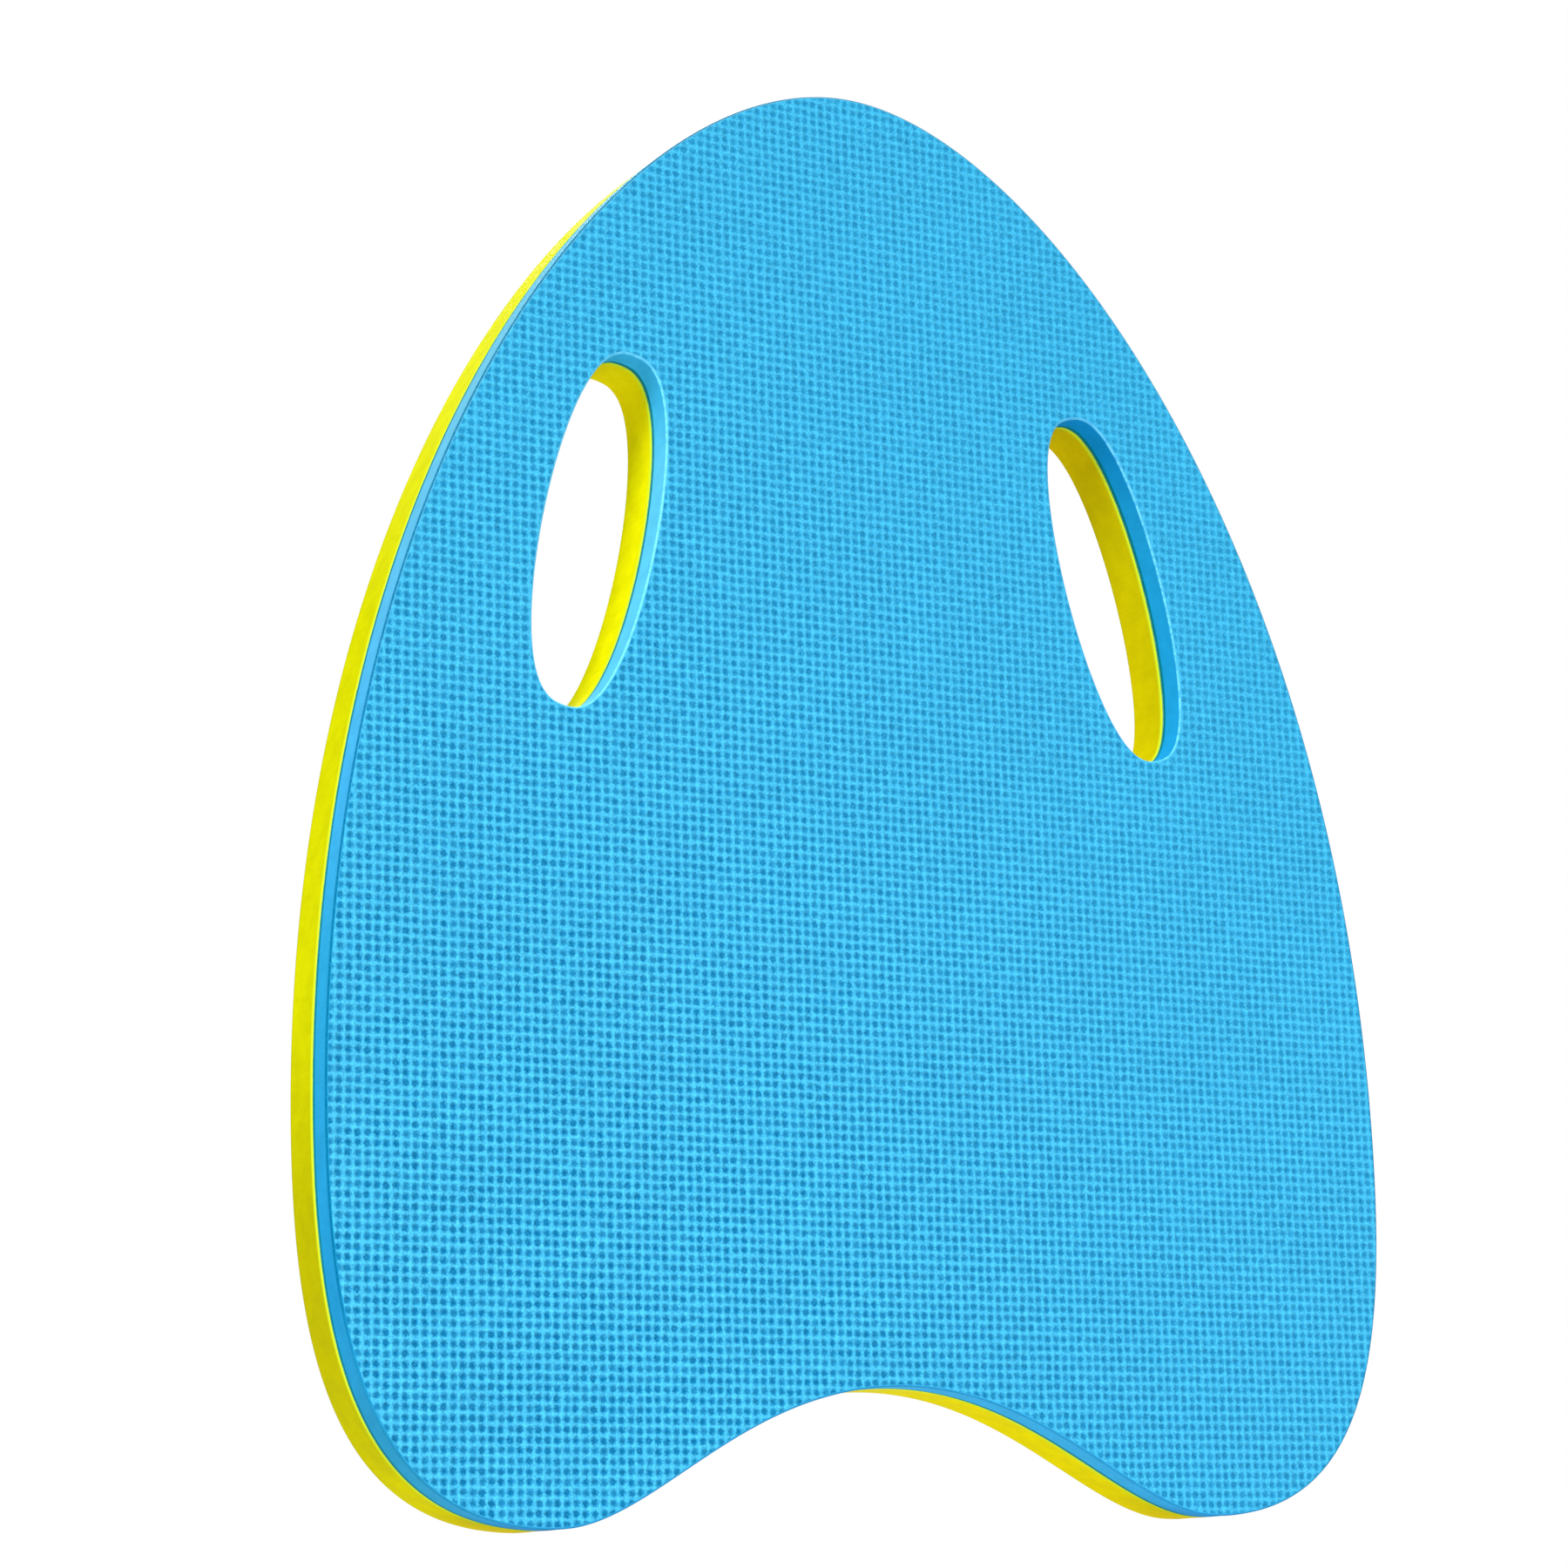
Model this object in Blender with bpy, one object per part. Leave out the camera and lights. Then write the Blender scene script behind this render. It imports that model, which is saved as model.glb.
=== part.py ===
"""Swimming kickboard: two closed-cell foam layers bonded face to face.

The board stands on the two lobes of its tail, with the nose towards +Z, the dimpled deck towards -Y
and the back towards +Y. The origin is on the ground, at the middle of the bounding box.
"""
import math

import bmesh
import bpy
from mathutils import Vector

# Driving dimensions, in metres.
LENGTH = 0.422
HALF_WIDTH = 0.1725
DECK_THICKNESS = 0.0088
BASE_THICKNESS = 0.0153
FILM_THICKNESS = 0.0003
CLEARANCE = 0.0003
RIM_BEVEL = 0.0007
FILM_INSET = 0.0015

# Outline: where the board is widest, where a lobe is lowest, and how high the tail notch reaches.
WIDEST_Z = 0.111
LOBE_X = 0.107
NOTCH_Z = 0.0374

# Outline: how far each smooth curve follows its end tangent.
NOSE_PULL = 0.0727
SIDE_PULL_UP = 0.1835
SIDE_PULL_DOWN = 0.0587
LOBE_PULL_OUT = 0.0565
LOBE_PULL_IN = 0.0285
NOTCH_PULL = 0.0506

# Hand slots: a pair that leans inwards at the top.
SLOT_X = 0.0875
SLOT_Z = 0.278
SLOT_HALF_LENGTH = 0.0540
SLOT_HALF_WIDTH = 0.0176
SLOT_LEAN = math.radians(13.5)
SLOT_FULLNESS = 0.78  # 1 is an ellipse, less is squarer

# How finely the curves are divided.
SIDE_STEPS = 28
LOBE_STEPS = 16
NOTCH_STEPS = 16
SLOT_STEPS = 40

THICKNESS = DECK_THICKNESS + BASE_THICKNESS + FILM_THICKNESS + 2 * CLEARANCE
DECK_Y = -THICKNESS / 2
FILM_Y = DECK_Y + DECK_THICKNESS + CLEARANCE
BASE_Y = FILM_Y + FILM_THICKNESS + CLEARANCE

DECK_BLUE = (0.045, 0.42, 0.82, 1.0)
BASE_YELLOW = (0.78, 0.80, 0.010, 1.0)
FILM_CLEAR = (0.72, 0.82, 0.45, 1.0)


def clear_scene():
    for thing in list(bpy.data.objects):
        bpy.data.objects.remove(thing, do_unlink=True)


def bezier(start, start_pull, end_pull, end, steps):
    """Points along a cubic curve, without its last one."""
    points = []
    for i in range(steps):
        t = i / steps
        s = 1 - t
        point = start * s**3 + start_pull * 3 * s * s * t + end_pull * 3 * s * t * t + end * t**3
        points.append(point)
    return points


def board_outline():
    """The closed outer outline in (x, z), from the nose round by the +X side."""
    nose = Vector((0, LENGTH))
    widest = Vector((HALF_WIDTH, WIDEST_Z))
    lobe = Vector((LOBE_X, 0))
    notch = Vector((0, NOTCH_Z))
    across = Vector((1, 0))
    up = Vector((0, 1))
    right = bezier(nose, nose + across * NOSE_PULL, widest + up * SIDE_PULL_UP, widest, SIDE_STEPS)
    right += bezier(widest, widest - up * SIDE_PULL_DOWN, lobe + across * LOBE_PULL_OUT, lobe, LOBE_STEPS)
    right += bezier(lobe, lobe - across * LOBE_PULL_IN, notch + across * NOTCH_PULL, notch, NOTCH_STEPS)
    left = [Vector((-p.x, p.y)) for p in reversed(right[1:])]
    return right + [notch] + left


def slot_outline(side):
    """A hand slot in (x, z): a leaning superellipse. side is 1 for +X and -1 for -X."""
    points = []
    for i in range(SLOT_STEPS):
        turn = 2 * math.pi * i / SLOT_STEPS
        across = SLOT_HALF_WIDTH * math.copysign(abs(math.cos(turn)) ** SLOT_FULLNESS, math.cos(turn))
        along = SLOT_HALF_LENGTH * math.sin(turn)
        x = across * math.cos(SLOT_LEAN) - along * math.sin(SLOT_LEAN)
        z = across * math.sin(SLOT_LEAN) + along * math.cos(SLOT_LEAN)
        points.append(Vector((side * (SLOT_X + x), SLOT_Z + z)))
    return points


def inset(outline, distance):
    """The outline moved towards its own middle by distance, or away from it if that is negative."""
    middle = sum(outline, Vector((0, 0))) / len(outline)
    signed_area = 0.0
    for a, b in zip(outline, outline[1:] + outline[:1]):
        signed_area += (a - middle).cross(b - middle)
    inward = math.copysign(distance, signed_area)
    moved = []
    for i, point in enumerate(outline):
        tangent = outline[(i + 1) % len(outline)] - outline[i - 1]
        normal = Vector((-tangent.y, tangent.x)).normalized()
        moved.append(point + normal * inward)
    return moved


def foam_material(name, colour, roughness):
    material = bpy.data.materials.new(name)
    material.use_nodes = True
    shader = material.node_tree.nodes["Principled BSDF"]
    shader.inputs["Base Color"].default_value = colour
    shader.inputs["Roughness"].default_value = roughness
    shader.inputs["Metallic"].default_value = 0.0
    material.diffuse_color = colour
    return material


def add_loop(bm, outline, y):
    verts = [bm.verts.new((p.x, y, p.y)) for p in outline]
    for a, b in zip(verts, verts[1:] + verts[:1]):
        bm.edges.new((a, b))


def plate(name, y, thickness, material, margin=0.0, bevelled_y=None):
    """A flat plate of the board's shape, from y to y + thickness, with the rims at bevelled_y eased."""
    bm = bmesh.new()
    add_loop(bm, inset(board_outline(), margin), y)
    for side in (1, -1):
        add_loop(bm, inset(slot_outline(side), -margin), y)
    bmesh.ops.triangle_fill(bm, edges=bm.edges[:], use_beauty=True, normal=(0, 1, 0))
    grown = bmesh.ops.extrude_face_region(bm, geom=bm.faces[:])["geom"]
    far_side = [v for v in grown if isinstance(v, bmesh.types.BMVert)]
    bmesh.ops.translate(bm, verts=far_side, vec=(0, thickness, 0))
    bmesh.ops.recalc_face_normals(bm, faces=bm.faces[:])
    if bevelled_y is not None:
        rims = []
        for edge in bm.edges:
            on_face = all(abs(v.co.y - bevelled_y) < 1e-6 for v in edge.verts)
            if on_face and edge.calc_face_angle(0) > math.radians(60):
                rims.append(edge)
        bmesh.ops.bevel(bm, geom=rims, offset=RIM_BEVEL, segments=1, affect="EDGES")
    mesh = bpy.data.meshes.new(name)
    bm.to_mesh(mesh)
    bm.free()
    mesh.materials.append(material)
    thing = bpy.data.objects.new(name, mesh)
    bpy.context.scene.collection.objects.link(thing)
    mesh.shade_smooth()
    mesh.set_sharp_from_angle(angle=math.radians(30))
    return thing


def main():
    clear_scene()
    blue = foam_material("deck_foam", DECK_BLUE, 0.55)
    yellow = foam_material("base_foam", BASE_YELLOW, 0.55)
    clear = foam_material("bond_adhesive", FILM_CLEAR, 0.4)
    plate("deck_layer", DECK_Y, DECK_THICKNESS, blue, bevelled_y=DECK_Y)
    plate("bond_film", FILM_Y, FILM_THICKNESS, clear, margin=FILM_INSET)
    plate("base_layer", BASE_Y, BASE_THICKNESS, yellow, bevelled_y=BASE_Y + BASE_THICKNESS)


main()
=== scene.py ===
"""The looks of the swimming kickboard: two embossed foam layers and the bond between them.

The board stands upright on the two lobes of its tail. Its deck faces -Y and its back faces +Y, so
x and z run along its faces. All lengths are in metres.
"""
import math

import bmesh
import bpy
import numpy as np
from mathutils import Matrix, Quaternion, Vector
from mathutils.geometry import delaunay_2d_cdt
from mathutils.kdtree import KDTree


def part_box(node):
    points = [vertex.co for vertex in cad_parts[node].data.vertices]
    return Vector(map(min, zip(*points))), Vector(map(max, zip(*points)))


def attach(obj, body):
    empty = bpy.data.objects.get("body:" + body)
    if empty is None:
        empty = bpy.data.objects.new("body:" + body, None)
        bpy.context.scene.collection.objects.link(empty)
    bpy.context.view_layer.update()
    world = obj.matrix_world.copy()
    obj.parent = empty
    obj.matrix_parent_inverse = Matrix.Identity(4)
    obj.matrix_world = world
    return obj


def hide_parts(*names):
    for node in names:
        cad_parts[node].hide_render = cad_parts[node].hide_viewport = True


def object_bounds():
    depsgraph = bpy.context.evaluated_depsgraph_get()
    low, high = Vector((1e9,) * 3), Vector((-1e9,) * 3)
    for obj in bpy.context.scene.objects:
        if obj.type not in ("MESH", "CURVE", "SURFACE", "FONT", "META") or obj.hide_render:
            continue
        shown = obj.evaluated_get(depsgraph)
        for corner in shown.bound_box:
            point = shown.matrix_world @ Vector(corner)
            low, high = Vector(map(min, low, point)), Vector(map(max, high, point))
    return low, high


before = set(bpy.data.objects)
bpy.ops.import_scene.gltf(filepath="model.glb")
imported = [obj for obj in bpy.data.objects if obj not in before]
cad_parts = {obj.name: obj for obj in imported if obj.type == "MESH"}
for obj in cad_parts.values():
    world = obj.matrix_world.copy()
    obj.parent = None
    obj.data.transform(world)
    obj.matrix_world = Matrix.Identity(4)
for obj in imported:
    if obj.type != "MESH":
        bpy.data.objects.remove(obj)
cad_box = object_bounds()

# The embossing: round dimples in a square grid, whose rows run slightly askew across the board.
PITCH = 0.00275
ROW_TILT = math.radians(0.93)
GRID_START = (-0.0297, 0.2091)  # the middle of one dimple, in (x, z)
DIMPLE_RADIUS = 0.00095
DIMPLE_DEPTH = 0.00050
DIMPLE_SIDES = 5
DIMPLE_SHARE = 0.49  # about how much of the skin the dimples shade
DIMPLE_MARGIN = 0.00018  # the least foam between a dimple and a rim

# How much the dimples differ from one another, as standard deviations.
PLACE_SPREAD = 0.00003
RADIUS_SPREAD = 0.035  # as a share of the radius
DEPTH_SPREAD = 0.12  # as a share of the depth

# Each dimple's painted shade, in pitches: how far it may be off the grid, where it fades away and
# where it is full, and the same for the paler middle that some dimples have.
SHADE_SHIFT = 0.06
SHADE_REACH = (0.62, 0.15)
PALE_REACH = (0.17, 0.03)

# How strongly the dimples' painted shade shows, up the board and across it: from where, to where,
# and how strongly at each.
SHADE_UP = (0.0, 0.42, 0.97, 0.59)
SHADE_ACROSS = (-0.12, 0.17, 1.0, 0.66)

# The cut edges.
CURVE_STEPS = 24  # points of a smooth curve for each straight side that it replaces
RIM_SPACING = 0.00135
RIM_ROUNDING = 0.00060
SEAM_ROUNDING = 0.00022
SHADE_LINE_HEIGHT = 0.00050  # the height of the painted shade line under a rim
SEAM_LINE = 0.00070  # the height of the line at the seam
WALL_WAVE = 0.00009  # the furthest that the cut wanders inwards
WAVELENGTHS = (0.064, 0.037, 0.021, 0.012)
SHARP_ANGLE = math.radians(55)

# Where the edges' colours, painted light and shade, change: the places where each change starts and
# ends.
TAIL_OUT = (0.16, 0.105)  # inwards to the tail's painted light
TAIL_UP = (0.07, 0.05)  # and downwards to it
SLOT_TOPS = (0.295, 0.325)  # upwards to the painted shade at the slots' top ends
MIDDLE = (-0.03, 0.03)  # from the -X slot's painted light to the +X slot's painted shade
SHADE_LINE_UP = (0.035, 0.07)  # upwards to the painted shade line's full strength

# The sizes of the foam's blotches and grain, and how high its fine relief stands.
CLOUD = 0.03
BLOTCH = 0.006
PATCH = 0.004
DRAG = 0.0016
BEAD_GRAIN = 0.0007
FRAYING = 0.0006
SPECK = 0.00055
GRAIN = 0.00035
DIMPLE_SHADE_DEPTH = 0.00008
SPECK_HEIGHT = 0.00006
DRAG_HEIGHT = 0.00005
GRAIN_HEIGHT = 0.00003
BEAD_GRAIN_HEIGHT = 0.00006
NOISE_SPAN = (0.3, 0.7)  # noise lies mostly between these

# What a cut wall's points say for its material: a painted highlight on a slot's rim, a painted shade
# line round the board's own rim, the seam's painted light and shade, and whether the point lies in a
# slot.
FINISHES = ("rubbed", "crease", "seam", "slot")

# The bond between the layers, which shows as a fine bead along the seam.
BEAD_INSET = 0.00012
BEAD_HEIGHT = 0.00052

# The camera: where it looks, seen from the middle of the deck, and from which direction.
LOOK_ACROSS = -0.0307
LOOK_UP = -0.0029
CAMERA_YAW = math.radians(29.67)
CAMERA_PITCH = math.radians(12.30)
CAMERA_ROLL = math.radians(-1.99)
CAMERA_DISTANCE = 1.0969
CAMERA_LENS = 88.05

# The floor, and the light: a white room and the floor glow softly. Each sun has its name, strength,
# softness in degrees, and the way that it shines.
FLOOR_HALF_WIDTH = 6.0
FLOOR_GREY = 0.42
ROOM_LIGHT = 0.15
FLOOR_LIGHT = 0.58
SUNS = (
    ("key", 3.74, 24, (0.5, 0.5, -0.7)),
    ("fill", 1.10, 24, (0.35, 0.9, 0.1)),
    ("rear", 2.6, 40, (-0.5, -0.75, -0.45)),
)

SEED = 11


# ---------------------------------------------------------------- outlines

def flat_loops(node, y):
    """The closed outlines in (x, z) of a CAD node's flat face at y, the board's own outline first."""
    bm = bmesh.new()
    bm.from_mesh(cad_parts[node].data)
    bmesh.ops.remove_doubles(bm, verts=bm.verts[:], dist=1e-6)
    flat = {f for f in bm.faces if all(abs(v.co.y - y) < 1e-5 for v in f.verts)}
    neighbours = {}
    for edge in bm.edges:
        if sum(f in flat for f in edge.link_faces) == 1:
            a, b = edge.verts
            neighbours.setdefault(a, []).append(b)
            neighbours.setdefault(b, []).append(a)
    loops = []
    while neighbours:
        here = next(iter(neighbours))
        loop = []
        while here is not None:
            loop.append((here.co.x, here.co.z))
            onward = neighbours.pop(here)
            here = next((v for v in onward if v in neighbours), None)
        loops.append(np.array(loop))
    bm.free()
    loops.sort(key=lambda loop: -np.ptp(loop[:, 1]))
    return [travelling(loop, 1 if i == 0 else -1) for i, loop in enumerate(loops)]


def travelling(loop, turn):
    """The loop in the direction that keeps the foam on its left: turn is 1 for a rim, -1 for a hole."""
    onward = np.roll(loop, -1, 0)
    area = (loop[:, 0] * onward[:, 1] - loop[:, 1] * onward[:, 0]).sum()
    return loop if area * turn > 0 else loop[::-1]


def smoothed(loop, spacing):
    """A smooth closed curve through the loop's points, as evenly spaced points."""
    onward = np.roll(loop, -1, 0)
    reach = np.linalg.norm(onward - loop, axis=1)[:, None]
    slope = (onward - loop) / reach
    back_reach, back_slope = np.roll(reach, 1, 0), np.roll(slope, 1, 0)
    tangent = (back_reach * slope + reach * back_slope) / (reach + back_reach)
    fine = []
    for t in np.linspace(0, 1, CURVE_STEPS, endpoint=False):
        fine.append(
            (2 * t**3 - 3 * t**2 + 1) * loop
            + (t**3 - 2 * t**2 + t) * reach * tangent
            + (3 * t**2 - 2 * t**3) * onward
            + (t**3 - t**2) * reach * np.roll(tangent, -1, 0)
        )
    fine = np.stack(fine, axis=1).reshape(-1, 2)
    closed = np.vstack([fine, fine[:1]])
    along = np.concatenate([[0], np.cumsum(np.linalg.norm(np.diff(closed, axis=0), axis=1))])
    count = round(along[-1] / spacing)
    stops = np.arange(count) * along[-1] / count
    return np.stack([np.interp(stops, along, closed[:, k]) for k in (0, 1)], axis=1)


def outward(loop):
    """The unit directions that point out of the foam along a loop."""
    tangent = np.roll(loop, -1, 0) - np.roll(loop, 1, 0)
    tangent /= np.linalg.norm(tangent, axis=1)[:, None]
    return np.stack([tangent[:, 1], -tangent[:, 0]], axis=1)


def inside(points, loop):
    """Which points lie inside a closed loop."""
    found = np.zeros(len(points), bool)
    for (ax, az), (bx, bz) in zip(loop, np.roll(loop, -1, 0)):
        crossed = (az > points[:, 1]) != (bz > points[:, 1])
        if crossed.any():
            where = ax + (points[crossed, 1] - az) * (bx - ax) / (bz - az)
            found[crossed] ^= points[crossed, 0] < where
    return found


class Rim:
    """The rims of one layer: its outer outline and its two hand slots, one after another."""

    def __init__(self, node, seam_y):
        self.loops = [smoothed(loop, RIM_SPACING) for loop in flat_loops(node, seam_y)]
        self.points = np.vstack(self.loops)
        self.normals = np.vstack([outward(loop) for loop in self.loops])
        ends = np.cumsum([len(loop) for loop in self.loops])
        self.spans = [(end - len(loop), end) for loop, end in zip(self.loops, ends)]
        self.is_slot = np.ones(len(self.points))
        self.is_slot[:ends[0]] = 0
        self.waves = self.make_waves()

    def make_waves(self):
        """How far the cut wanders inwards at each point, from 0 to 1: a few slow waves."""
        rng = np.random.default_rng(SEED)
        waves = np.zeros(len(self.points))
        for start, end in self.spans:
            turn = np.linspace(0, 2 * math.pi, end - start, endpoint=False)
            length = (end - start) * RIM_SPACING
            total = np.zeros(end - start)
            for wavelength in WAVELENGTHS:
                cycles = max(2, round(length / wavelength))
                total += np.sin(cycles * turn + rng.uniform(0, 2 * math.pi)) * wavelength
            waves[start:end] = (total - total.min()) / np.ptp(total)
        return waves

    def row(self, inset, wave=0.0):
        """The rim's points moved into the foam by inset, and by the cut's waves times wave."""
        return self.points - self.normals * (inset + self.waves * wave)[:, None]

    def edges(self):
        """The pairs of neighbouring points."""
        return [
            (i, i + 1 if i + 1 < end else start)
            for start, end in self.spans
            for i in range(start, end)
        ]

    def holds(self, points, row):
        """Which points lie on foam, and in no slot, on a face that ends at row."""
        outer, *slots = [row[start:end] for start, end in self.spans]
        held = inside(points, outer)
        for slot in slots:
            held &= ~inside(points, slot)
        return held


# ---------------------------------------------------------------- dimples

def grid_points(rim):
    """The middles of all the dimples that lie wholly on the foam of a face."""
    c, s = math.cos(ROW_TILT), math.sin(ROW_TILT)
    reach = int(np.ptp(rim.points, axis=0).max() / PITCH)
    column, row = np.meshgrid(np.arange(-reach, reach), np.arange(-reach, reach))
    column, row = column.ravel() * PITCH, row.ravel() * PITCH
    points = np.stack([column * c - row * s, -column * s - row * c], axis=1) + GRID_START
    points = points[rim.holds(points, rim.points)]
    tree = KDTree(len(rim.points))
    for i, (x, z) in enumerate(rim.points):
        tree.insert((x, z, 0), i)
    tree.balance()
    room = np.array([tree.find((x, z, 0))[2] for x, z in points])
    return points[room > RIM_ROUNDING + DIMPLE_RADIUS + DIMPLE_MARGIN]


def dimpled_face(rim, rim_row):
    """Points, depths and triangles of an embossed face that ends at rim_row."""
    rng = np.random.default_rng(SEED + 1)
    middles = grid_points(rim)
    count = len(middles)
    middles = middles + rng.normal(0, PLACE_SPREAD, (count, 2))
    radius = DIMPLE_RADIUS * rng.normal(1, RADIUS_SPREAD, count).clip(0.9, 1.1)
    turn = rng.uniform(0, 2 * math.pi, count)
    rings = []
    for k in range(DIMPLE_SIDES):
        angle = turn + 2 * math.pi * k / DIMPLE_SIDES
        rings.append(middles + radius[:, None] * np.stack([np.cos(angle), np.sin(angle)], axis=1))
    points = np.vstack([rim_row, *rings, middles])
    depths = np.zeros(len(points))
    depths[-count:] = DIMPLE_DEPTH * rng.normal(1, DEPTH_SPREAD, count).clip(0.7, 1.3)
    return points, depths, triangles(points, rim)


def triangles(points, rim):
    """Triangles over a face's points, with the points of its row at the rim first among them.

    Those with all their corners on that row are kept only where the row holds foam.
    """
    corners = [Vector(point) for point in points]
    # Output type 0 gives all the triangles inside the points' convex hull.
    _, _, made, origins, _, _ = delaunay_2d_cdt(corners, rim.edges(), [], 0, 1e-8)
    faces = np.array([ids[0] for ids in origins])[np.array(made)]
    row = points[:len(rim.points)]
    loose = (faces < len(row)).all(axis=1)
    kept = ~loose
    kept[loose] = rim.holds(points[faces[loose]].mean(axis=1), row)
    return faces[kept]


# ---------------------------------------------------------------- meshes

def in_space(points, y):
    """Points of a face, in space. y is one height, or one for each point."""
    return np.stack([points[:, 0], np.broadcast_to(y, len(points)), points[:, 1]], axis=1)


class Row:
    """One row of points round a layer's wall, at a depth below the embossed face.

    wave is its share of the cut's waves. The rest say how much of each finish it holds: rubbed is
    the painted highlight on a slot's rim, crease the painted shade line round the board's own rim,
    and seam the seam's painted light and shade.
    """

    def __init__(self, inset, depth, wave=0.0, rubbed=0.0, crease=0.0, seam=0.0):
        self.inset, self.depth, self.wave = inset, depth, wave
        self.rubbed, self.crease, self.seam = rubbed, crease, seam

    def finishes(self, rim):
        """How much of each finish the row's points hold, and which of them are in a slot."""
        return {
            "rubbed": self.rubbed * rim.is_slot,
            "crease": self.crease * (1 - rim.is_slot),
            "seam": self.seam * np.ones(len(rim.points)),
            "slot": rim.is_slot,
        }


def layer_rows(thickness):
    """The rows round a layer's wall, from the rounded rim of its embossed face down to its seam."""
    rows = []
    # Rows round the rounded rim: how far each has turned, and its shares of the painted rim highlight
    # and the painted shade line.
    for degrees, rubbed, crease in ((30, 0.3, 1.0), (60, 0.85, 1.0), (90, 0.1, 0.7)):
        turn = math.radians(degrees)
        inset, depth = RIM_ROUNDING * (1 - math.sin(turn)), RIM_ROUNDING * (1 - math.cos(turn))
        rows.append(Row(inset, depth, rubbed=rubbed, crease=crease))
    rows.append(Row(0, RIM_ROUNDING + SHADE_LINE_HEIGHT * 0.4, wave=0.1, crease=0.35))
    rows.append(Row(0, RIM_ROUNDING + SHADE_LINE_HEIGHT * 1.2, wave=0.3))
    rows.append(Row(0, thickness * 0.45, wave=1))
    rows.append(Row(0, thickness - SEAM_LINE * 2, wave=0.4))
    rows.append(Row(0, thickness - SEAM_LINE, wave=0.1, seam=1))
    rows.append(Row(0, thickness - SEAM_ROUNDING, seam=1))
    rows.append(Row(SEAM_ROUNDING * 0.3, thickness - SEAM_ROUNDING * 0.3, seam=1))
    rows.append(Row(SEAM_ROUNDING, thickness, seam=1))
    return rows


def layer(name, node, face_y, seam_y, face_material, cut_material):
    """One foam layer: an embossed face at face_y, cut walls, and a flat side at seam_y."""
    rim = Rim(node, seam_y)
    inwards = math.copysign(1, seam_y - face_y)
    points, depths, faces = dimpled_face(rim, rim.row(RIM_ROUNDING))
    verts = [in_space(points, face_y + inwards * depths)]
    finishes = [{finish: np.zeros(len(points)) for finish in FINISHES}]
    polygons = faces.tolist()
    above, below = 0, len(points)
    for row in layer_rows(abs(seam_y - face_y)):
        points = rim.row(row.inset, row.wave * WALL_WAVE)
        verts.append(in_space(points, face_y + inwards * row.depth))
        finishes.append(row.finishes(rim))
        polygons += [(above + a, above + b, below + b, below + a) for a, b in rim.edges()]
        above, below = below, below + len(points)
    polygons += (triangles(points, rim) + above).tolist()
    piece = mesh_object(name, np.vstack(verts), polygons, [face_material, cut_material])
    is_cut = np.ones(len(polygons), int)
    is_cut[:len(faces)] = 0
    piece.data.polygons.foreach_set("material_index", is_cut)
    for finish in FINISHES:
        add_attribute(piece.data, finish, np.concatenate([part[finish] for part in finishes]))
    point_outwards(piece.data)
    return piece


def mesh_object(name, verts, polygons, materials):
    mesh = bpy.data.meshes.new(name)
    mesh.from_pydata(verts.tolist(), [], polygons)
    for material in materials:
        mesh.materials.append(material)
    piece = bpy.data.objects.new(name, mesh)
    bpy.context.scene.collection.objects.link(piece)
    return piece


def add_attribute(mesh, name, values):
    mesh.attributes.new(name, "FLOAT", "POINT").data.foreach_set("value", values.astype(np.float32))


def point_outwards(mesh):
    """Turns every face outwards, and shades the mesh smooth except at sharp corners."""
    bm = bmesh.new()
    bm.from_mesh(mesh)
    bmesh.ops.recalc_face_normals(bm, faces=bm.faces[:])
    bm.to_mesh(mesh)
    bm.free()
    mesh.shade_smooth()
    mesh.set_sharp_from_angle(angle=SHARP_ANGLE)


def bond_bead(name, rim, low_y, high_y, material):
    """The bond: a film between the layers, with a rounded bead along its rims."""
    middle, half = (low_y + high_y) / 2, (high_y - low_y) / 2
    verts, polygons = [], []
    above = None
    for degrees in (-90, -50, -17, 17, 50, 90):
        turn = math.radians(degrees)
        row = rim.row(BEAD_INSET + half * (1 - math.cos(turn)))
        below = len(row) * len(verts)
        verts.append(in_space(row, middle + half * math.sin(turn)))
        if above is None:
            polygons += triangles(row, rim).tolist()
        else:
            polygons += [(above + a, above + b, below + b, below + a) for a, b in rim.edges()]
        above = below
    polygons += (triangles(row, rim) + above).tolist()
    piece = mesh_object(name, np.vstack(verts), polygons, [material])
    point_outwards(piece.data)
    return piece


# ---------------------------------------------------------------- materials

def add(tree, kind, inputs=None, **settings):
    """A new node, with its settings, and its inputs as values or as the sockets that feed them."""
    node = tree.nodes.new(kind)
    for name, value in settings.items():
        setattr(node, name, value)
    for key, value in (inputs or {}).items():
        if isinstance(value, bpy.types.NodeSocket):
            tree.links.new(value, node.inputs[key])
        else:
            node.inputs[key].default_value = value
    return node


def maths(tree, operation, *values):
    """One step of arithmetic: its result."""
    return add(tree, "ShaderNodeMath", dict(enumerate(values)), operation=operation).outputs[0]


def vectors(tree, operation, *values):
    """One step of vector arithmetic: its node."""
    return add(tree, "ShaderNodeVectorMath", dict(enumerate(values)), operation=operation)


def ramp(tree, value, start, end, low=0.0, high=1.0):
    """value eased from low at start to high at end."""
    inputs = {"Value": value, "From Min": start, "From Max": end, "To Min": low, "To Max": high}
    return add(tree, "ShaderNodeMapRange", inputs, interpolation_type="SMOOTHSTEP").outputs[0]


def blend(tree, share, a, b, mode="MIX"):
    """Colour a turned towards colour b by share."""
    inputs = {0: share, 6: a, 7: b}
    return add(tree, "ShaderNodeMix", inputs, data_type="RGBA", blend_type=mode).outputs[2]


def colour_at(tree, value, stops):
    """The colour at value, between the stops' own values and colours."""
    node = add(tree, "ShaderNodeValToRGB", {0: value})
    elements = node.color_ramp.elements
    elements.remove(elements[1])
    elements[0].position, elements[0].color = stops[0]
    for position, colour in stops[1:]:
        elements.new(position).color = colour
    return node.outputs[0]


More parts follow.
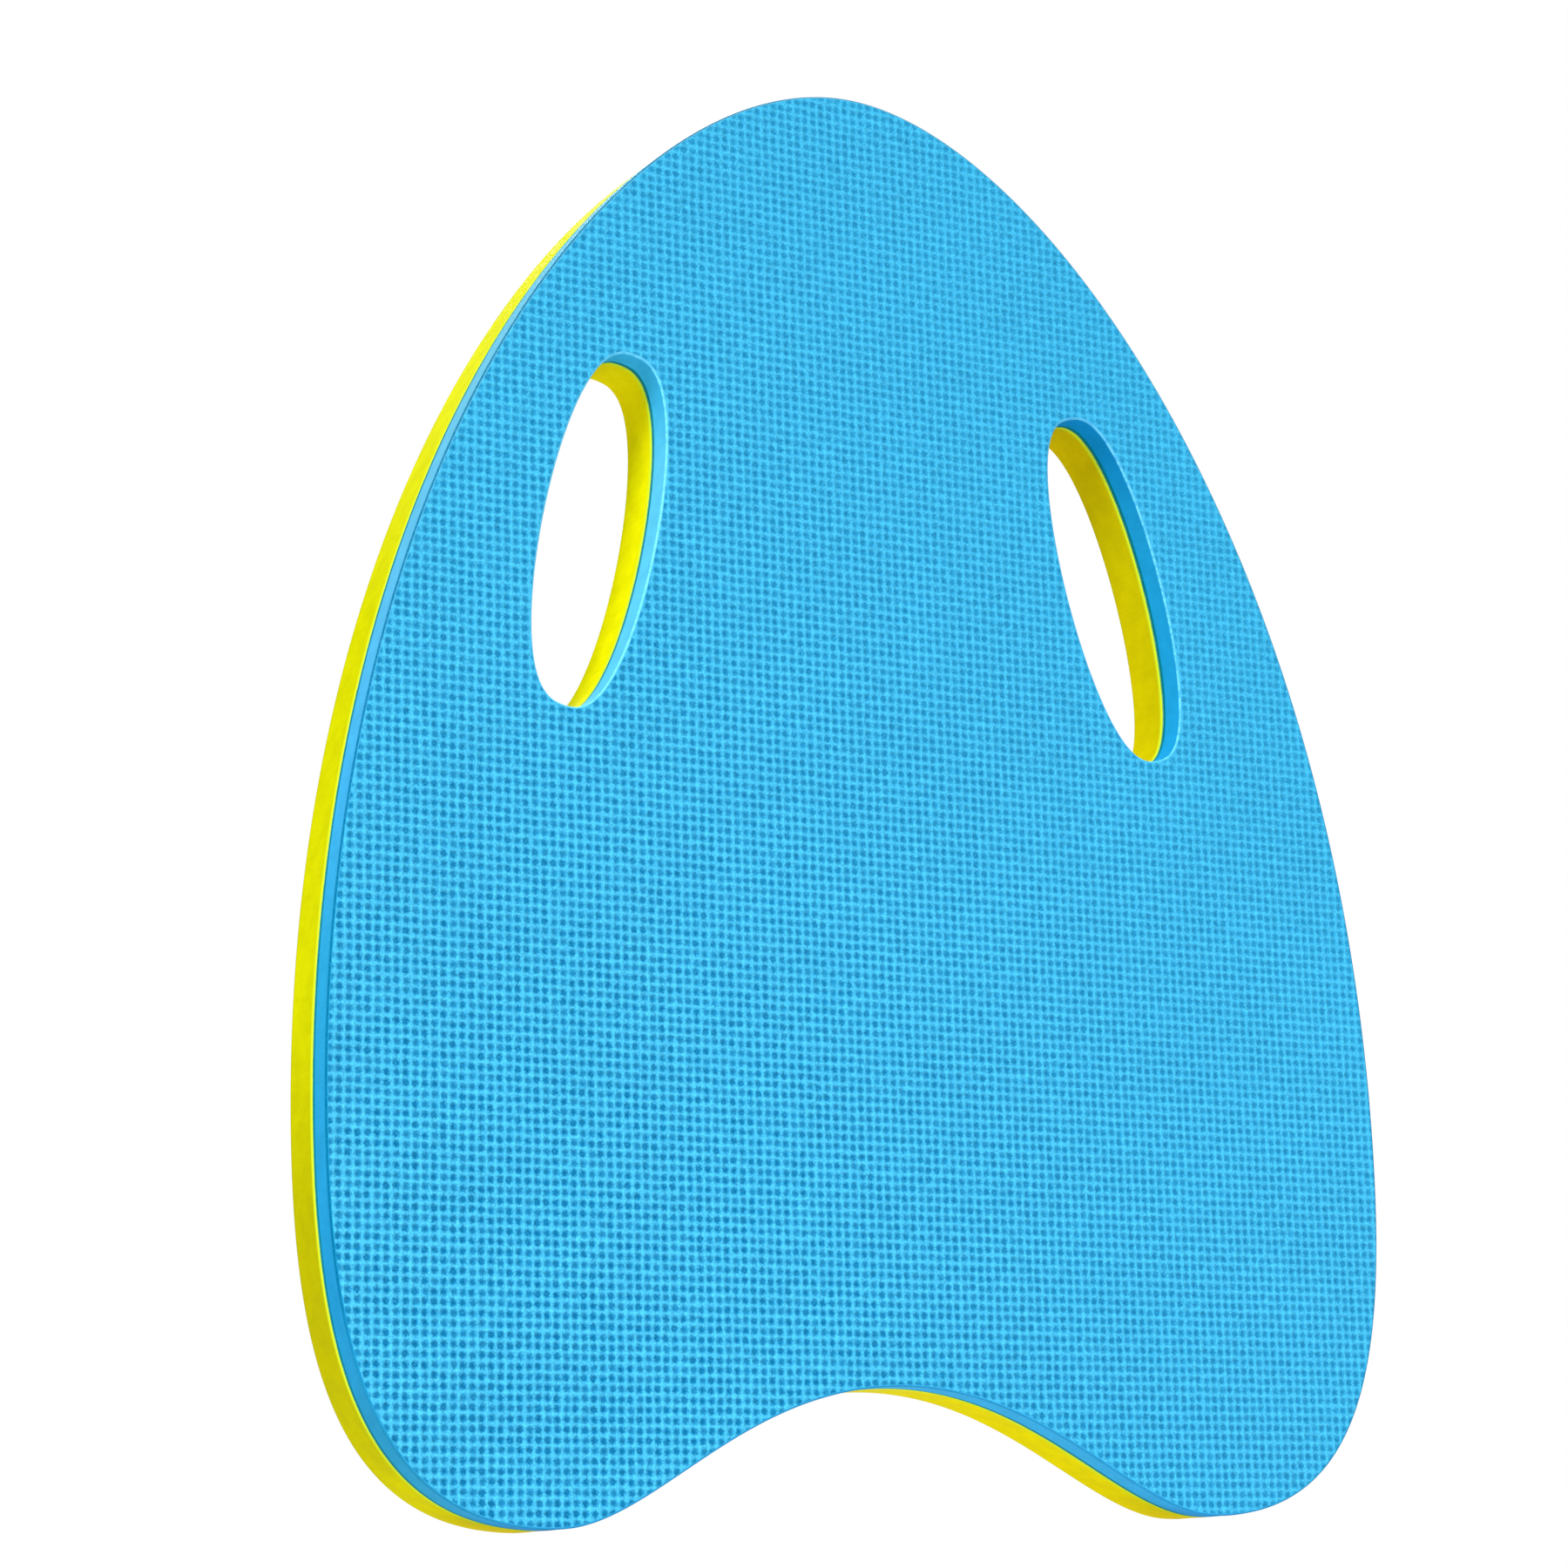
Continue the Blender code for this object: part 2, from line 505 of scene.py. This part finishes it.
def noise(tree, at, size, detail=2.0, stretch=None):
    """Soft noise whose blotches are about size across."""
    if stretch:
        at = vectors(tree, "MULTIPLY", at, stretch).outputs[0]
    inputs = {"Vector": at, "Scale": 1 / size, "Detail": detail, "Roughness": 0.55}
    return add(tree, "ShaderNodeTexNoise", inputs).outputs["Fac"]


def new_material(name, roughness, gloss):
    """A material, its node tree, its shader, and the place on the object."""
    material = bpy.data.materials.new(name)
    material.use_nodes = True
    tree = material.node_tree
    shader = tree.nodes["Principled BSDF"]
    shader.inputs["Roughness"].default_value = roughness
    shader.inputs["Specular IOR Level"].default_value = gloss
    place = add(tree, "ShaderNodeTexCoord").outputs["Object"]
    return material, tree, shader, place


def bump(tree, shader, height, distance=1.0):
    """Gives the surface a fine relief."""
    relief = add(tree, "ShaderNodeBump", {"Height": height, "Strength": 1.0, "Distance": distance})
    tree.links.new(relief.outputs[0], shader.inputs["Normal"])


def dimple_distance(tree, place):
    """How far a place is from the middle of its dimple, in pitches, and the dimple's random value.

    The middles are shifted a little at random, and the distance is frayed by fine noise.
    """
    start = (GRID_START[0], 0, GRID_START[1])
    from_start = vectors(tree, "SUBTRACT", place, start).outputs[0]
    flat = vectors(tree, "MULTIPLY", from_start, (1 / PITCH, 0, 1 / PITCH)).outputs[0]
    turned = add(
        tree,
        "ShaderNodeVectorRotate",
        {"Vector": flat, "Angle": -ROW_TILT},
        rotation_type="Y_AXIS",
    ).outputs[0]
    cell = vectors(tree, "FLOOR", vectors(tree, "ADD", turned, (0.5, 0.5, 0.5)).outputs[0]).outputs[0]
    luck = add(tree, "ShaderNodeTexWhiteNoise", {"Vector": cell}, noise_dimensions="3D")
    away = vectors(tree, "SUBTRACT", turned, cell).outputs[0]
    range_of_shift = (2 * SHADE_SHIFT, 0, 2 * SHADE_SHIFT)
    least_shift = (-SHADE_SHIFT, 0, -SHADE_SHIFT)
    shift = vectors(tree, "MULTIPLY_ADD", luck.outputs["Color"], range_of_shift, least_shift)
    shifted = vectors(tree, "ADD", away, shift.outputs[0]).outputs[0]
    distance = vectors(tree, "LENGTH", shifted).outputs["Value"]
    fraying = maths(tree, "SUBTRACT", noise(tree, place, FRAYING, 3.0), 0.5)
    distance = maths(tree, "ADD", distance, maths(tree, "MULTIPLY", fraying, 0.5))
    return distance, luck.outputs["Value"]


def embossed_foam(name, raised, dimple_shade_colour):
    """The skin of an embossed face: pale ridges, dimples darkened by painted shade, and a fine
    closed-cell grain.

    The painted shade is paler in the middle of some dimples, and shows most at the tail and
    towards -X.
    """
    material, tree, shader, place = new_material(name, 0.5, 0.12)
    distance, luck = dimple_distance(tree, place)
    # The dimples' darkness is painted shade, paler in the middle of some and strongest at the tail and
    # towards -X.
    dimple = ramp(tree, distance, *SHADE_REACH)
    dimple = maths(tree, "MULTIPLY", dimple, ramp(tree, luck, 0.0, 1.0, 0.9, 1.1))
    paleness = ramp(tree, luck, 0.72, 0.98, 0.0, 0.35)
    pale_middle = maths(tree, "MULTIPLY", ramp(tree, distance, *PALE_REACH), paleness)
    dimple = maths(tree, "SUBTRACT", dimple, pale_middle)
    x, _, z = add(tree, "ShaderNodeSeparateXYZ", {0: place}).outputs
    strength = maths(tree, "MULTIPLY", ramp(tree, z, *SHADE_UP), ramp(tree, x, *SHADE_ACROSS))
    from_mean = maths(tree, "SUBTRACT", dimple, DIMPLE_SHARE)
    dimple = maths(tree, "MULTIPLY_ADD", from_mean, strength, DIMPLE_SHARE)
    cloud = noise(tree, place, CLOUD, 2.0)
    speck = noise(tree, place, SPECK, 3.0)
    colour = blend(tree, dimple, raised, dimple_shade_colour)
    shade = ramp(tree, cloud, *NOISE_SPAN, 0.985, 1.015)
    shade = maths(tree, "ADD", shade, ramp(tree, speck, 0.25, 0.75, -0.25, 0.25))
    colour = blend(tree, 1.0, colour, grey(tree, shade), "MULTIPLY")
    tree.links.new(colour, shader.inputs["Base Color"])
    tree.links.new(ramp(tree, speck, *NOISE_SPAN, 0.42, 0.56), shader.inputs["Roughness"])
    sunk_height = maths(tree, "MULTIPLY", dimple, -DIMPLE_SHADE_DEPTH)
    bump(tree, shader, maths(tree, "ADD", sunk_height, maths(tree, "MULTIPLY", speck, SPECK_HEIGHT)))
    return material


def grey(tree, value):
    """The grey that is as bright as value."""
    return add(tree, "ShaderNodeCombineColor", {0: value, 1: value, 2: value}).outputs[0]


def cut_foam(name, side, tail, near_slot_painted_light, far_slot_painted_shade, slot_top_painted_shade, rim_highlight_colour, shade_line_colour, seam_light_and_shade):
    """A cut wall: smooth foam with faint blotches and drag marks, and fine lines of painted light and
    shade at its rims and seam.

    side gives heights up the board and the colours of its edge there, painted light and shade that
    make it paler high up and darker just above the tail, and tail is the colour between the lobes, a
    painted light. near_slot_painted_light and far_slot_painted_shade are those of the walls of the hand
    slots, painted light at -X and painted shade at +X, and slot_top_painted_shade multiplies them with
    painted shade at the slots' top ends.
    """
    material, tree, shader, place = new_material(name, 0.48, 0.002)
    x, _, z = add(tree, "ShaderNodeSeparateXYZ", {0: place}).outputs
    blotch = noise(tree, place, BLOTCH, 3.0)
    drag = noise(tree, place, DRAG, 2.0, stretch=(1.0, 0.25, 1.0))
    grain = noise(tree, place, GRAIN, 2.0)
    finish = {}
    for part in FINISHES:
        finish[part] = add(tree, "ShaderNodeAttribute", attribute_name=part).outputs["Fac"]
    shade = ramp(tree, blotch, *NOISE_SPAN, 0.95, 1.04)
    shade = maths(tree, "ADD", shade, ramp(tree, drag, *NOISE_SPAN, -0.02, 0.02))

    # The wall's colour holds painted light and shade: up the side by height, at the tail, in each slot
    # and at the slots' top ends.
    out = maths(tree, "ABSOLUTE", x)
    at_tail = maths(tree, "MULTIPLY", ramp(tree, out, *TAIL_OUT), ramp(tree, z, *TAIL_UP))
    edge = blend(tree, at_tail, colour_at(tree, z, side), tail)
    slots = blend(tree, ramp(tree, x, *MIDDLE), near_slot_painted_light, far_slot_painted_shade)
    shaded_tops = blend(tree, 1.0, slots, slot_top_painted_shade, "MULTIPLY")
    slots = blend(tree, ramp(tree, z, *SLOT_TOPS), slots, shaded_tops)
    body = blend(tree, finish["slot"], edge, slots)
    colour = blend(tree, 1.0, body, grey(tree, shade), "MULTIPLY")

    # A painted highlight along the slots' rims, interrupted by the drag marks.
    rim_glint = maths(tree, "MULTIPLY", finish["rubbed"], ramp(tree, drag, 0.35, 0.6, 0.35, 1.0))
    colour = blend(tree, rim_glint, colour, rim_highlight_colour)
    # A painted shade line under the board's own rim, interrupted by the grain and fainter low down.
    shade_line_mask = maths(tree, "MULTIPLY", finish["crease"], ramp(tree, grain, 0.3, 0.6, 0.65, 1.0))
    shade_line_mask = maths(tree, "MULTIPLY", shade_line_mask, ramp(tree, z, *SHADE_LINE_UP, 0.5, 1.0))
    colour = blend(tree, shade_line_mask, colour, shade_line_colour)
    # The seam's painted light and shade: painted shade on the deck's wall, a painted highlight on the
    # base's.
    colour = blend(tree, finish["seam"], colour, seam_light_and_shade)
    tree.links.new(colour, shader.inputs["Base Color"])
    tree.links.new(ramp(tree, blotch, *NOISE_SPAN, 0.40, 0.54), shader.inputs["Roughness"])
    grain_height = maths(tree, "MULTIPLY", grain, GRAIN_HEIGHT)
    bump(tree, shader, maths(tree, "MULTIPLY_ADD", drag, DRAG_HEIGHT, grain_height))
    return material


def adhesive(name, colour, pale):
    """The bead of adhesive: slightly glossy, with paler patches."""
    material, tree, shader, place = new_material(name, 0.35, 0.15)
    patch = noise(tree, place, PATCH, 3.0)
    patched = blend(tree, ramp(tree, patch, *NOISE_SPAN), colour, pale)
    tree.links.new(patched, shader.inputs["Base Color"])
    tree.links.new(ramp(tree, patch, *NOISE_SPAN, 0.3, 0.42), shader.inputs["Roughness"])
    bump(tree, shader, noise(tree, place, BEAD_GRAIN), BEAD_GRAIN_HEIGHT)
    return material


# ---------------------------------------------------------------- stage

def floor():
    """A plain pale floor. It is clear from underneath, where the camera stands, and stops no light."""
    bm = bmesh.new()
    bmesh.ops.create_grid(bm, x_segments=1, y_segments=1, size=FLOOR_HALF_WIDTH)
    mesh = bpy.data.meshes.new("floor")
    bm.to_mesh(mesh)
    bm.free()
    plane = bpy.data.objects.new("floor", mesh)
    plane.visible_shadow = False
    bpy.context.scene.collection.objects.link(plane)
    material = bpy.data.materials.new("floor")
    material.use_nodes = True
    tree = material.node_tree
    shader = tree.nodes["Principled BSDF"]
    shader.inputs["Base Color"].default_value = (FLOOR_GREY, FLOOR_GREY, FLOOR_GREY, 1)
    shader.inputs["Roughness"].default_value = 0.85
    shader.inputs["Specular IOR Level"].default_value = 0.1
    shader.inputs["Emission Color"].default_value = (1, 1, 1, 1)
    shader.inputs["Emission Strength"].default_value = FLOOR_LIGHT
    under = add(tree, "ShaderNodeNewGeometry").outputs["Backfacing"]
    clear = add(tree, "ShaderNodeBsdfTransparent").outputs[0]
    both = add(tree, "ShaderNodeMixShader", {0: under, 1: shader.outputs[0], 2: clear})
    tree.links.new(both.outputs[0], tree.nodes["Material Output"].inputs["Surface"])
    mesh.materials.append(material)


def sun(name, strength, softness, towards):
    """A soft light that shines along towards."""
    light = bpy.data.lights.new(name, "SUN")
    light.energy = strength
    light.angle = math.radians(softness)
    lamp = bpy.data.objects.new(name, light)
    lamp.rotation_mode = "QUATERNION"
    lamp.rotation_quaternion = Vector(towards).to_track_quat("-Z", "Y")
    bpy.context.scene.collection.objects.link(lamp)


def studio():
    """Plain soft light from a white room, which looks brighter than it shines, and the suns."""
    world = bpy.data.worlds.new("studio")
    world.use_nodes = True
    tree = world.node_tree
    lighting = tree.nodes["Background"]
    lighting.inputs["Color"].default_value = (1, 1, 1, 1)
    lighting.inputs["Strength"].default_value = ROOM_LIGHT
    seen = add(tree, "ShaderNodeBackground", {"Color": (1, 1, 1, 1), "Strength": 1.0}).outputs[0]
    direct = add(tree, "ShaderNodeLightPath").outputs["Is Camera Ray"]
    both = add(tree, "ShaderNodeMixShader", {0: direct, 1: lighting.outputs[0], 2: seen})
    tree.links.new(both.outputs[0], tree.nodes["World Output"].inputs["Surface"])
    bpy.context.scene.world = world
    for settings in SUNS:
        sun(*settings)


def camera():
    """The view of the photograph."""
    low, high = cad_box
    forward = Vector((
        math.sin(CAMERA_YAW) * math.cos(CAMERA_PITCH),
        math.cos(CAMERA_YAW) * math.cos(CAMERA_PITCH),
        math.sin(CAMERA_PITCH),
    ))
    target = Vector(((low.x + high.x) / 2 + LOOK_ACROSS, low.y, (low.z + high.z) / 2 + LOOK_UP))
    data = bpy.data.cameras.new("camera")
    data.sensor_width = 36
    data.lens = CAMERA_LENS
    data.clip_start = 0.05
    view = bpy.data.objects.new("camera", data)
    view.rotation_mode = "QUATERNION"
    roll = Quaternion((0, 0, 1), CAMERA_ROLL)
    view.rotation_quaternion = forward.to_track_quat("-Z", "Y") @ roll
    view.location = target - forward * CAMERA_DISTANCE
    bpy.context.scene.collection.objects.link(view)
    bpy.context.scene.camera = view
    bpy.context.scene.view_settings.view_transform = "Standard"


# ---------------------------------------------------------------- the board

def board():
    """The two foam sheets and the bead between them, each with its looks."""
    deck_low, deck_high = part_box("deck_layer")
    base_low, base_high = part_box("base_layer")

    # Each face's second colour is its ridges' colour darkened by the dimples' painted shade.
    blue_face = embossed_foam(
        "deck_foam_embossed",
        raised=(0.058, 0.463, 0.740, 1),
        dimple_shade_colour=(0.0, 0.154, 0.334, 1),
    )
    yellow_face = embossed_foam(
        "base_foam_embossed",
        raised=(0.72, 0.72, 0.004, 1),
        dimple_shade_colour=(0.42, 0.40, 0.001, 1),
    )
    # The cut walls' colours are painted light and shade: paler high up the side and darker just above
    # the tail, painted light at the tail and in the -X slot, painted shade in the +X slot and at the
    # slots' top ends, a painted highlight on the slots' rims and a painted shade line round the board's
    # rim.
    blue_cut = cut_foam(
        "deck_foam_cut",
        side=(
            (0.01, (0.030, 0.315, 0.54, 1)),
            (0.06, (0.015, 0.275, 0.56, 1)),
            (0.15, (0.022, 0.32, 0.59, 1)),
            (0.20, (0.046, 0.372, 0.70, 1)),
            (0.32, (0.13, 0.455, 0.63, 1)),
        ),
        tail=(0.042, 0.375, 0.71, 1),
        near_slot_painted_light=(0.09, 0.484, 0.78, 1),
        far_slot_painted_shade=(0.012, 0.312, 0.658, 1),
        slot_top_painted_shade=(0.40, 0.82, 0.93, 1),
        rim_highlight_colour=(0.22, 0.74, 0.95, 1),
        shade_line_colour=(0.0, 0.12, 0.24, 1),
        # Painted shade along the seam.
        seam_light_and_shade=(0.0, 0.17, 0.22, 1),
    )
    # The base's cut walls carry the same painted light and shade.
    yellow_cut = cut_foam(
        "base_foam_cut",
        side=(
            (0.01, (0.57, 0.54, 0.001, 1)),
            (0.05, (0.44, 0.41, 0.001, 1)),
            (0.08, (0.42, 0.40, 0.001, 1)),
            (0.14, (0.55, 0.562, 0.001, 1)),
            (0.25, (0.55, 0.562, 0.001, 1)),
            (0.32, (0.64, 0.66, 0.012, 1)),
        ),
        tail=(0.74, 0.63, 0.001, 1),
        near_slot_painted_light=(0.696, 0.665, 0.001, 1),
        far_slot_painted_shade=(0.568, 0.489, 0.001, 1),
        slot_top_painted_shade=(1.03, 0.93, 1.0, 1),
        rim_highlight_colour=(0.74, 0.76, 0.02, 1),
        shade_line_colour=(0.40, 0.36, 0.001, 1),
        # A painted highlight along the seam.
        seam_light_and_shade=(0.58, 0.70, 0.02, 1),
    )
    bead = adhesive("bond_adhesive", colour=(0.05, 0.28, 0.16, 1), pale=(0.12, 0.38, 0.22, 1))

    deck = layer("deck_foam_sheet", "deck_layer", deck_low.y, deck_high.y, blue_face, blue_cut)
    base = layer("base_foam_sheet", "base_layer", base_high.y, base_low.y, yellow_face, yellow_cut)
    seam_rim = Rim("base_layer", base_low.y)
    seam = bond_bead("bond_bead", seam_rim, base_low.y - BEAD_HEIGHT, base_low.y, bead)

    for piece, node, slot in (
        (deck, "deck_layer", "deck_foam"),
        (seam, "bond_film", "bond_adhesive"),
        (base, "base_layer", "base_foam"),
    ):
        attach(piece, "root")
        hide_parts(node)


camera()
board()
floor()
studio()
